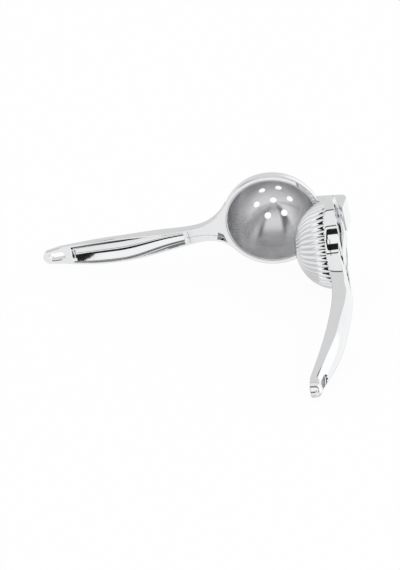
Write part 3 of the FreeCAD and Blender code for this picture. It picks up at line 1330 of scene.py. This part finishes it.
@dataclass
class StrainerCup:
    """Thin pressed cup with seven drain holes."""

    bowl: BowlSizes = field(default_factory=lambda: BOWL)
    lip_round: float = 0.35
    drill_half: float = 4.0

    def shell(self) -> bmesh.types.BMesh:
        """The cup before its holes are pierced.

        Returns:
            The cup's mesh.
        """
        b = self.bowl
        skins = []
        for radius in (b.ball, b.ball + b.cup_wall):
            turns = spread(math.asin(-b.centre / radius), -math.pi / 2, 40)
            skins.append([(radius * math.cos(t), b.centre + radius * math.sin(t)) for t in turns])
        inner, outer = skins
        inside = corner(Vector(inner[2]), Vector(inner[0]), Vector(outer[0]), self.lip_round, steps=3)
        outside = corner(Vector(inner[0]), Vector(outer[0]), Vector(outer[2]), self.lip_round, steps=3)
        lip = [(p.x, p.y) for p in inside + outside]
        profile = [(0.0, inner[-1][1]), *reversed(inner[1:-1]), *lip, *outer[1:-1], (0.0, outer[-1][1])]
        return turned(profile, ROUND_STEPS, closed=False)

    def drills(self) -> list[bmesh.types.BMesh]:
        """Cutters for the middle hole and the ring of holes.

        Returns:
            One cutter for each hole.
        """
        b = self.bowl
        places = [(0.0, 0.0)]
        for step in range(b.hole_count):
            turn = math.tau * step / b.hole_count
            places.append((b.hole_circle * math.cos(turn), b.hole_circle * math.sin(turn)))
        cutters = []
        for x, y in places:
            outward = Vector((x, y, -math.sqrt(b.ball**2 - x * x - y * y))).normalized()
            middle = Vector((0.0, 0.0, b.centre)) + outward * b.ball
            cutters.append(rod(b.hole_radius, self.drill_half, middle, outward, segments=48))
        return cutters

    def build(self, finish: bpy.types.Material) -> bpy.types.Object:
        """Make the piece and set it on its body.

        Args:
            finish: The piece's finish.

        Returns:
            The finished piece.
        """
        work = Carving("strainer_cup_shell", self.shell())
        work.apply(Cut.REMOVE, *self.drills())
        piece = work.finish(PLACEMENT.matrix, finish)
        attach(piece, "lower")
        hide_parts("strainer_cup")
        return piece


@dataclass
class HingePin:
    """Pin pressed into the fork, with rounded chamfers at its ends."""

    hinge: HingeSizes = field(default_factory=lambda: HINGE)
    chamfer: float = 0.4
    chamfer_in: float = 0.1
    chamfer_up: float = 0.2

    def build(self, finish: bpy.types.Material) -> bpy.types.Object:
        """Make the piece and set it on its body.

        Args:
            finish: The piece's finish.

        Returns:
            The finished piece.
        """
        h = self.hinge
        r, half, c = h.pin_radius, h.fork_half, self.chamfer
        side = r - self.chamfer_in
        profile = [(0.0, -half), (r - c, -half), (side, -half + self.chamfer_up), (r, -half + c)]
        profile += [(r, half - c), (side, half - self.chamfer_up), (r - c, half), (0.0, half)]
        bm = turned(profile, BORE_STEPS, closed=False)
        place = Matrix.Translation(PIN) @ Matrix.Rotation(-math.pi / 2, 4, "X")
        bmesh.ops.transform(bm, matrix=place, verts=bm.verts)
        piece = Carving("hinge_pin_ground", bm).finish(PLACEMENT.matrix, finish)
        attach(piece, "lower")
        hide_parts("hinge_pin")
        return piece


@dataclass
class UpperArm:
    """Upper casting: press ring, spine, handle and hinge eye."""

    press: PressSizes = field(default_factory=lambda: PRESS)
    hinge: HingeSizes = field(default_factory=lambda: HINGE)
    edge_round: float = 0.7
    front_run: float = 3.6
    front_fall: float = 0.45
    ledge_below: float = 0.4
    ledge_round: float = 0.2
    spine_foot_round: float = 0.5
    spine_side_round: float = 0.6
    tongue_inset: float = 0.01

    def back_height(self, place: float) -> float:
        """Height of the ring's back edge, which rises from the hinge to the handle.

        Args:
            place: Distance from the bowl's axis towards the handle.

        Returns:
            The height.
        """
        p = self.press
        slope = (p.high_height - p.low_height) / (p.ring_radius - p.level_to)
        return p.ring_front + p.low_height + slope * max(0.0, place - p.level_to)

    def ring(self) -> bmesh.types.BMesh:
        """Ring with a ledge inside and a slanted back edge; build cuts the dome's seat in it.

        Returns:
            The ring's mesh.
        """
        p = self.press
        high = p.ring_front + p.high_height
        mouth = p.dome_radius + p.seat_gap
        ledge_top = p.ring_front + p.low_height - self.ledge_below
        inner = p.ring_radius - p.ring_wall
        points = [
            (mouth - p.ledge_width, p.ring_front),
            (p.ring_radius, p.ring_front),
            (p.ring_radius, high),
            (inner, high),
            (inner, ledge_top),
            (mouth - p.ledge_width, ledge_top),
        ]
        sizes = [0.0, 0.0, self.edge_round, self.edge_round, 0.0, self.ledge_round]
        outline = rounded(points, sizes)
        near, front, after = Vector(outline[0]), Vector(outline[1]), Vector(outline[2])
        curve = corner(near, front, after, self.front_fall, steps=8, far=self.front_run)
        outline[1:2] = [(point.x, point.y) for point in curve]
        bm = turned(outline, ROUND_STEPS, closed=True)
        for vert in bm.verts:
            if vert.co.z > high - 2.0 * self.edge_round:
                vert.co.z -= high - self.back_height(vert.co.x)
        return bm

    def spine_top(self, place: float) -> float:
        """Height of the spine's back.

        Args:
            place: Distance from the bowl's axis towards the handle.

        Returns:
            The height.
        """
        p = self.press
        handle = Handle(UPPER)
        root = handle.edge(p.spine_start) + UPPER.depths[0][1]
        middle = p.ring_front + p.spine_middle
        eye_top = PIN_Z + self.hinge.eye_radius
        return eased(place, [(PIN_X, eye_top), (0.0, middle), (p.spine_start, root)])

    def spine(self) -> bmesh.types.BMesh:
        """Bar over the ring's hollow back that ties the handle to the hinge eye.

        Returns:
            The bar's mesh.
        """
        p = self.press
        half = p.spine_half
        radius = (half**2 + p.spine_crown**2) / (2.0 * p.spine_crown)
        reach = math.asin(half / radius)
        turns = spread(reach, -reach, 12)
        sides = [self.spine_side_round]
        sizes = [self.spine_foot_round] * 2 + sides + [0.0] * (len(turns) - 2) + sides
        sections = []
        for place in spread(PIN_X, p.spine_start, 60):
            top = self.spine_top(place)
            foot = top - p.spine_thickness
            bow = [(radius * math.sin(t), top - radius + radius * math.cos(t)) for t in turns]
            outline = rounded([(-half, foot), (half, foot)] + bow, sizes)
            sections.append([Vector((place, y, z)) for y, z in outline])
        return loft(sections)

    def tongue(self) -> bmesh.types.BMesh:
        """Web between the hinge eye and the ring.

        Returns:
            The web's mesh.
        """
        p = self.press
        ledge_x = -(p.ring_radius - p.ring_wall / 2.0)
        outline = [
            (PIN_X, p.tongue_lift),
            (ledge_x, p.tongue_lift),
            (ledge_x, p.ring_front + p.low_height - p.spine_crown),
            (PIN_X, PIN_Z + self.hinge.eye_radius - p.spine_crown),
        ]
        return plate(outline, p.spine_half - self.tongue_inset)

    def build(self, finish: bpy.types.Material) -> bpy.types.Object:
        """Make the piece and set it on its body.

        Args:
            finish: The piece's finish.

        Returns:
            The finished piece.
        """
        p = self.press
        handle = Handle(UPPER)
        inside_wall = p.ring_radius - p.ring_wall / 2.0
        work = Carving("upper_arm_casting", handle.body())
        work.apply(Cut.REMOVE, rod(inside_wall, RING_REACH, Vector(), UP, ROUND_STEPS))
        eye = rod(self.hinge.eye_radius, p.spine_half, PIN, ACROSS, segments=96)
        work.apply(Cut.ADD, self.ring(), self.spine(), self.tongue(), eye)
        seat = UP * (p.ring_front + p.ledge_drop - SEAT_REACH)
        work.apply(
            Cut.REMOVE,
            handle.pocket(),
            handle.slot(),
            rod(p.dome_radius + p.seat_gap, SEAT_REACH, seat, UP, ROUND_STEPS),
            rod(self.hinge.pin_radius + self.hinge.running_gap, BORE_REACH, PIN, ACROSS, BORE_STEPS),
        )
        piece = work.finish(PLACEMENT.opened(OPEN_ANGLE), finish)
        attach(piece, "upper")
        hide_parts("upper_arm")
        return piece


@dataclass
class PressDome:
    """Hollow dome with convex flutes that run from its skirt to a smooth cap."""

    press: PressSizes = field(default_factory=lambda: PRESS)
    steps_per_flute: int = 10
    groove_start: float = 0.06
    axis_clear: float = 1.0
    skin_margin: float = 0.05
    sharp: float = 50.0

    def build(self, finish: bpy.types.Material) -> bpy.types.Object:
        """Make the piece and set it on its body.

        Args:
            finish: The piece's finish.

        Returns:
            The finished piece.
        """
        p = self.press
        top = p.ring_front + p.ledge_drop - p.seat_gap
        outer = []
        for t in spread(0.0, math.pi / 2, 44):
            outer.append((p.dome_radius * math.cos(t), p.ring_front - p.dome_height * math.sin(t)))
        inner_radius = p.dome_radius - p.dome_wall - p.flute_depth
        inner_height = p.dome_height - p.dome_wall + p.ledge_drop
        inner = []
        for t in spread(math.pi / 2, 0.0, 24):
            inner.append((inner_radius * math.cos(t), top - inner_height * math.sin(t)))
        profile = [(0.0, outer[-1][1]), *reversed(outer[:-1]), (p.dome_radius, top)]
        profile += [*reversed(inner[1:]), (0.0, inner[0][1])]
        bm = turned(profile, p.flutes * self.steps_per_flute, closed=False)
        for vert in bm.verts:
            self._flute(vert)
        bmesh.ops.recalc_face_normals(bm, faces=bm.faces)
        work = Carving("press_dome_fluted", bm)
        piece = work.finish(PLACEMENT.opened(OPEN_ANGLE), finish, self.sharp)
        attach(piece, "upper")
        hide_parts("press_dome")
        return piece

    def _flute(self, vert: bmesh.types.BMVert) -> None:
        """Draw an outer point in towards the axis where a groove runs.

        Args:
            vert: The point, which is moved.
        """
        p = self.press
        radius = math.hypot(vert.co.x, vert.co.y)
        drop = max(0.0, p.ring_front - vert.co.z) / p.dome_height
        skin = p.dome_radius * math.sqrt(max(0.0, 1.0 - drop**2))
        if radius < self.axis_clear or radius < skin - self.skin_margin:
            return
        share = (radius - p.cap_radius) / (p.dome_radius - p.cap_radius)
        if share <= 0.0:
            return
        groove = p.flute_end_depth + (p.flute_depth - p.flute_end_depth) * share
        groove *= min(1.0, share / self.groove_start)
        turn = math.atan2(vert.co.y, vert.co.x) * p.flutes / math.tau
        part = turn - math.floor(turn)
        drawn = radius - groove * (2.0 * part - 1.0) ** 2
        vert.co.x *= drawn / radius
        vert.co.y *= drawn / radius


# Studio


def half_turns(degrees: float) -> float:
    """Degrees as a share of a half turn, which is how the world's nodes hold angles."""
    return degrees / 180.0


@dataclass(frozen=True)
class Ways:
    """Sockets that say where a direction lies, seen from the object.

    The angles turn and across are shares of a half turn: turn is how far above or below the lens,
    and across how far to the side of it, positive on the hinge's side. The others are parts of the
    direction, upward and to that side.
    """

    turn: bpy.types.NodeSocket
    across: bpy.types.NodeSocket
    upward: bpy.types.NodeSocket
    lateral: bpy.types.NodeSocket


@dataclass
class Studio:
    """Pale table, white surroundings with black cards round the lens, and the camera.

    Angles are in degrees, above and below the lens or across it, as in Ways.
    """

    camera_place: tuple[float, float, float] = (-141.4251, -554.1284, 988.1536)
    camera_right: tuple[float, float, float] = (-0.972284, 0.224547, -0.06514)
    camera_down: tuple[float, float, float] = (0.156065, 0.830759, 0.534306)
    camera_ahead: tuple[float, float, float] = (0.174092, 0.50933, -0.842778)
    lens: float = 101.27
    sensor: float = 36.0
    clip: tuple[float, float] = (0.01, 20.0)
    table_half: float = 6.0
    table_grey: float = 0.9
    table_roughness: float = 0.8
    table_glow: float = 0.94
    side_tilt: float = 0.0872
    aim_below: float = 3.5
    bands: tuple[tuple[float, float], ...] = (
        (0.0, 1.0),
        (45.0, 0.95),
        (46.0, 0.05),
        (48.0, 0.05),
        (49.0, 0.9),
        (90.0, 0.88),
        (91.0, 0.1),
        (94.0, 0.1),
        (95.0, 0.72),
        (180.0, 0.72),
    )
    bands_end: tuple[float, float] = (42.0, 50.0)
    back_light: float = 0.28
    back_turn: tuple[float, float] = (136.0, 143.0)
    back_across: tuple[float, float] = (-4.0, 12.0)
    tent_sides: tuple[float, float] = (0.9, 1.12)
    tent_reach: float = 0.9
    low_shade: float = 0.34
    low_upward: tuple[float, float] = (-0.5, 0.3)
    low_lateral: tuple[float, float] = (-0.5, 0.1)
    window: float = 26.0
    window_across: tuple[float, float] = (-14.5, 35.0)
    card_across: tuple[float, float] = (-33.0, 47.0)
    card_point: float = 6.0
    card_edge: float = 40.0
    card_black: float = 0.985
    behind: float = 75.0
    behind_across: tuple[float, float] = (-35.0, 35.0)
    middle: float = 24.0
    middle_across: tuple[float, float] = (-6.2, 20.0)
    double_depth: float = 1.5
    double_dim: float = 0.74

    def camera(self) -> bpy.types.Object:
        """Camera where the photograph was taken from.

        Returns:
            The camera.
        """
        data = bpy.data.cameras.new("camera")
        data.lens = self.lens
        data.sensor_width = self.sensor
        data.clip_start, data.clip_end = self.clip
        camera = bpy.data.objects.new("camera", data)
        bpy.context.scene.collection.objects.link(camera)
        right = PLACEMENT.direction(self.camera_right)
        up = -PLACEMENT.direction(self.camera_down)
        back = -PLACEMENT.direction(self.camera_ahead)
        turn = Matrix((right, up, back)).transposed().to_4x4()
        camera.matrix_world = Matrix.Translation(PLACEMENT.point(self.camera_place)) @ turn
        bpy.context.scene.camera = camera
        return camera

    def table(self) -> bpy.types.Object:
        """Wide pale table that shows white and keeps a soft shadow.

        Returns:
            The table.
        """
        bm = bmesh.new()
        bmesh.ops.create_grid(bm, x_segments=8, y_segments=8, size=self.table_half)
        obj = Carving("table", bm).obj
        material = bpy.data.materials.new("table_white")
        material.use_nodes = True
        kit = Nodes(material.node_tree)
        shader = material.node_tree.nodes["Principled BSDF"]
        shader.inputs["Base Color"].default_value = (self.table_grey, self.table_grey, self.table_grey, 1.0)
        shader.inputs["Roughness"].default_value = self.table_roughness
        glow = kit.add("ShaderNodeEmission")
        glow.inputs["Color"].default_value = (1.0, 1.0, 1.0, 1.0)
        path = kit.add("ShaderNodeLightPath").outputs
        seen = kit.math("MAXIMUM", path["Is Camera Ray"], path["Is Glossy Ray"])
        seen = kit.math("MAXIMUM", seen, path["Is Transmission Ray"])
        mix = kit.add("ShaderNodeMixShader")
        kit.link(kit.math("MULTIPLY", seen, self.table_glow), mix.inputs["Fac"])
        kit.link(shader.outputs["BSDF"], mix.inputs[1])
        kit.link(glow.outputs["Emission"], mix.inputs[2])
        kit.link(mix.outputs["Shader"], material.node_tree.nodes["Material Output"].inputs["Surface"])
        obj.data.materials.append(material)
        obj.visible_glossy = False
        return obj

    def surroundings(self) -> None:
        """White world, in which polished metal sees bands, a tent and black cards round the lens."""
        world = bpy.data.worlds.new("tent")
        bpy.context.scene.world = world
        world.use_nodes = True
        world.node_tree.nodes.clear()
        kit = Nodes(world.node_tree)
        ways = self._ways(kit)
        wide = kit.math("ABSOLUTE", ways.across)
        near = kit.remap(wide, *map(half_turns, self.bands_end), 1.0, 0.0)
        seen = kit.blend(near, self._tent(kit, ways), self._bands(kit, ways))
        seen = kit.shaded(seen, self._card(kit, ways), self.card_black)
        seen = kit.shaded(seen, self._doubled(kit, ways), self.double_dim)
        glossy = kit.add("ShaderNodeLightPath").outputs["Is Glossy Ray"]
        background = kit.add("ShaderNodeBackground")
        background.inputs["Color"].default_value = (1.0, 1.0, 1.0, 1.0)
        kit.link(kit.blend(glossy, 1.0, seen), background.inputs["Strength"])
        kit.link(background.outputs["Background"], kit.add("ShaderNodeOutputWorld").inputs["Surface"])

    def _ways(self, kit: Nodes) -> Ways:
        """Measure the world's directions from the object.

        Args:
            kit: The world's nodes.

        Returns:
            The measured sockets.
        """
        way = kit.add("ShaderNodeTexCoord").outputs["Generated"]
        side = -PLACEMENT.direction((1.0, 0.0, -self.side_tilt))
        ahead = -PLACEMENT.direction(self.camera_ahead)
        ahead = (ahead - side * ahead.dot(side)).normalized()
        above = side.cross(ahead).normalized()
        if above.z < 0.0:
            above = -above
        forward = kit.vector("DOT_PRODUCT", way, ahead).outputs["Value"]
        upward = kit.vector("DOT_PRODUCT", way, above).outputs["Value"]
        lateral = kit.vector("DOT_PRODUCT", way, side).outputs["Value"]
        raised = kit.math("ADD", kit.math("ARCTAN2", upward, forward), math.radians(self.aim_below))
        turn = kit.math("DIVIDE", kit.math("ABSOLUTE", raised), math.pi)
        across = kit.math("DIVIDE", kit.math("ARCSINE", lateral), math.pi)
        return Ways(turn, across, upward, lateral)

    def _bands(self, kit: Nodes, ways: Ways) -> bpy.types.NodeSocket:
        """Bands of light and dark above and below the lens, and a light at the back.

        Args:
            kit: The world's nodes.
            ways: Where a direction lies.

        Returns:
            The brightness.
        """
        bands = kit.add("ShaderNodeValToRGB")
        elements = bands.color_ramp.elements
        for angle, _ in self.bands[1:-1]:
            elements.new(half_turns(angle))
        for element, (_, value) in zip(elements, self.bands):
            element.color = (value, value, value, 1.0)
        kit.link(ways.turn, bands.inputs["Fac"])
        high = kit.remap(ways.turn, *map(half_turns, self.back_turn), 0.0, self.back_light)
        beside = kit.remap(ways.across, *map(half_turns, self.back_across), 0.0, 1.0)
        return kit.math("ADD", bands.outputs["Color"], kit.math("MULTIPLY", high, beside))

    def _tent(self, kit: Nodes, ways: Ways) -> bpy.types.NodeSocket:
        """White tent at both sides, shaded low down on the handle's side.

        Args:
            kit: The world's nodes.
            ways: Where a direction lies.

        Returns:
            The brightness.
        """
        tent = kit.remap(ways.lateral, -self.tent_reach, self.tent_reach, *self.tent_sides)
        low = kit.remap(ways.upward, *self.low_upward, 1.0, 0.0)
        low = kit.math("MULTIPLY", low, kit.remap(ways.lateral, *self.low_lateral, 1.0, 0.0))
        return kit.shaded(tent, low, self.low_shade)

    def _card(self, kit: Nodes, ways: Ways) -> bpy.types.NodeSocket:
        """Black card round the lens, with a window in it and an end that narrows to a point.

        Args:
            kit: The world's nodes.
            ways: Where a direction lies.

        Returns:
            A mask.
        """
        narrow = (half_turns(self.card_across[0]), half_turns(self.window_across[0]))
        edge = kit.remap(ways.across, *narrow, self.card_point, self.card_edge)
        level = kit.math("LESS_THAN", kit.math("MULTIPLY", ways.turn, 180.0), edge)
        card = kit.math("MULTIPLY", level, self._between(kit, ways.across, self.card_across))
        return kit.shaded(card, self._inside(kit, ways, self.window, self.window_across), 1.0)

    def _doubled(self, kit: Nodes, ways: Ways) -> bpy.types.NodeSocket:
        """Directions near the lens, except its very middle, for light that was reflected twice.

        Args:
            kit: The world's nodes.
            ways: Where a direction lies.

        Returns:
            A mask.
        """
        around = self._inside(kit, ways, self.behind, self.behind_across)
        around = kit.shaded(around, self._inside(kit, ways, self.middle, self.middle_across), 1.0)
        depth = kit.add("ShaderNodeLightPath").outputs["Glossy Depth"]
        return kit.math("MULTIPLY", around, kit.math("GREATER_THAN", depth, self.double_depth))

    @staticmethod
    def _between(
        kit: Nodes, value: bpy.types.NodeSocket, span: tuple[float, float]
    ) -> bpy.types.NodeSocket:
        """Find where an angle lies between two others.

        Args:
            kit: The world's nodes.
            value: The angle, as a share of a half turn.
            span: The two others, in degrees.

        Returns:
            A mask.
        """
        above = kit.math("GREATER_THAN", value, half_turns(span[0]))
        return kit.math("MULTIPLY", above, kit.math("LESS_THAN", value, half_turns(span[1])))

    def _inside(
        self, kit: Nodes, ways: Ways, half: float, span: tuple[float, float]
    ) -> bpy.types.NodeSocket:
        """Find the directions inside a window round the lens.

        Args:
            kit: The world's nodes.
            ways: Where a direction lies.
            half: Half the window's height in degrees.
            span: The window's two sides in degrees.

        Returns:
            A mask.
        """
        level = kit.math("LESS_THAN", ways.turn, half_turns(half))
        return kit.math("MULTIPLY", level, self._between(kit, ways.across, span))

    def build(self) -> None:
        """Set up the whole studio."""
        self.table()
        self.surroundings()
        self.camera()
        bpy.context.scene.view_settings.view_transform = "Standard"


def main() -> None:
    """Build every piece in order, then the studio."""
    groups = SurfaceGroups()
    chrome = CAST_CHROME.build(groups)
    satin = SATIN_STEEL.build(groups)
    ground = GROUND_STEEL.build(groups)
    parts = [
        (LowerArm(), chrome),
        (StrainerCup(), satin),
        (HingePin(), ground),
        (UpperArm(), chrome),
        (PressDome(), chrome),
    ]
    for part, finish in parts:
        piece = part.build(finish)
        log.info("made %s", piece.name)
    Studio().build()


if __name__ == "__main__":
    main()
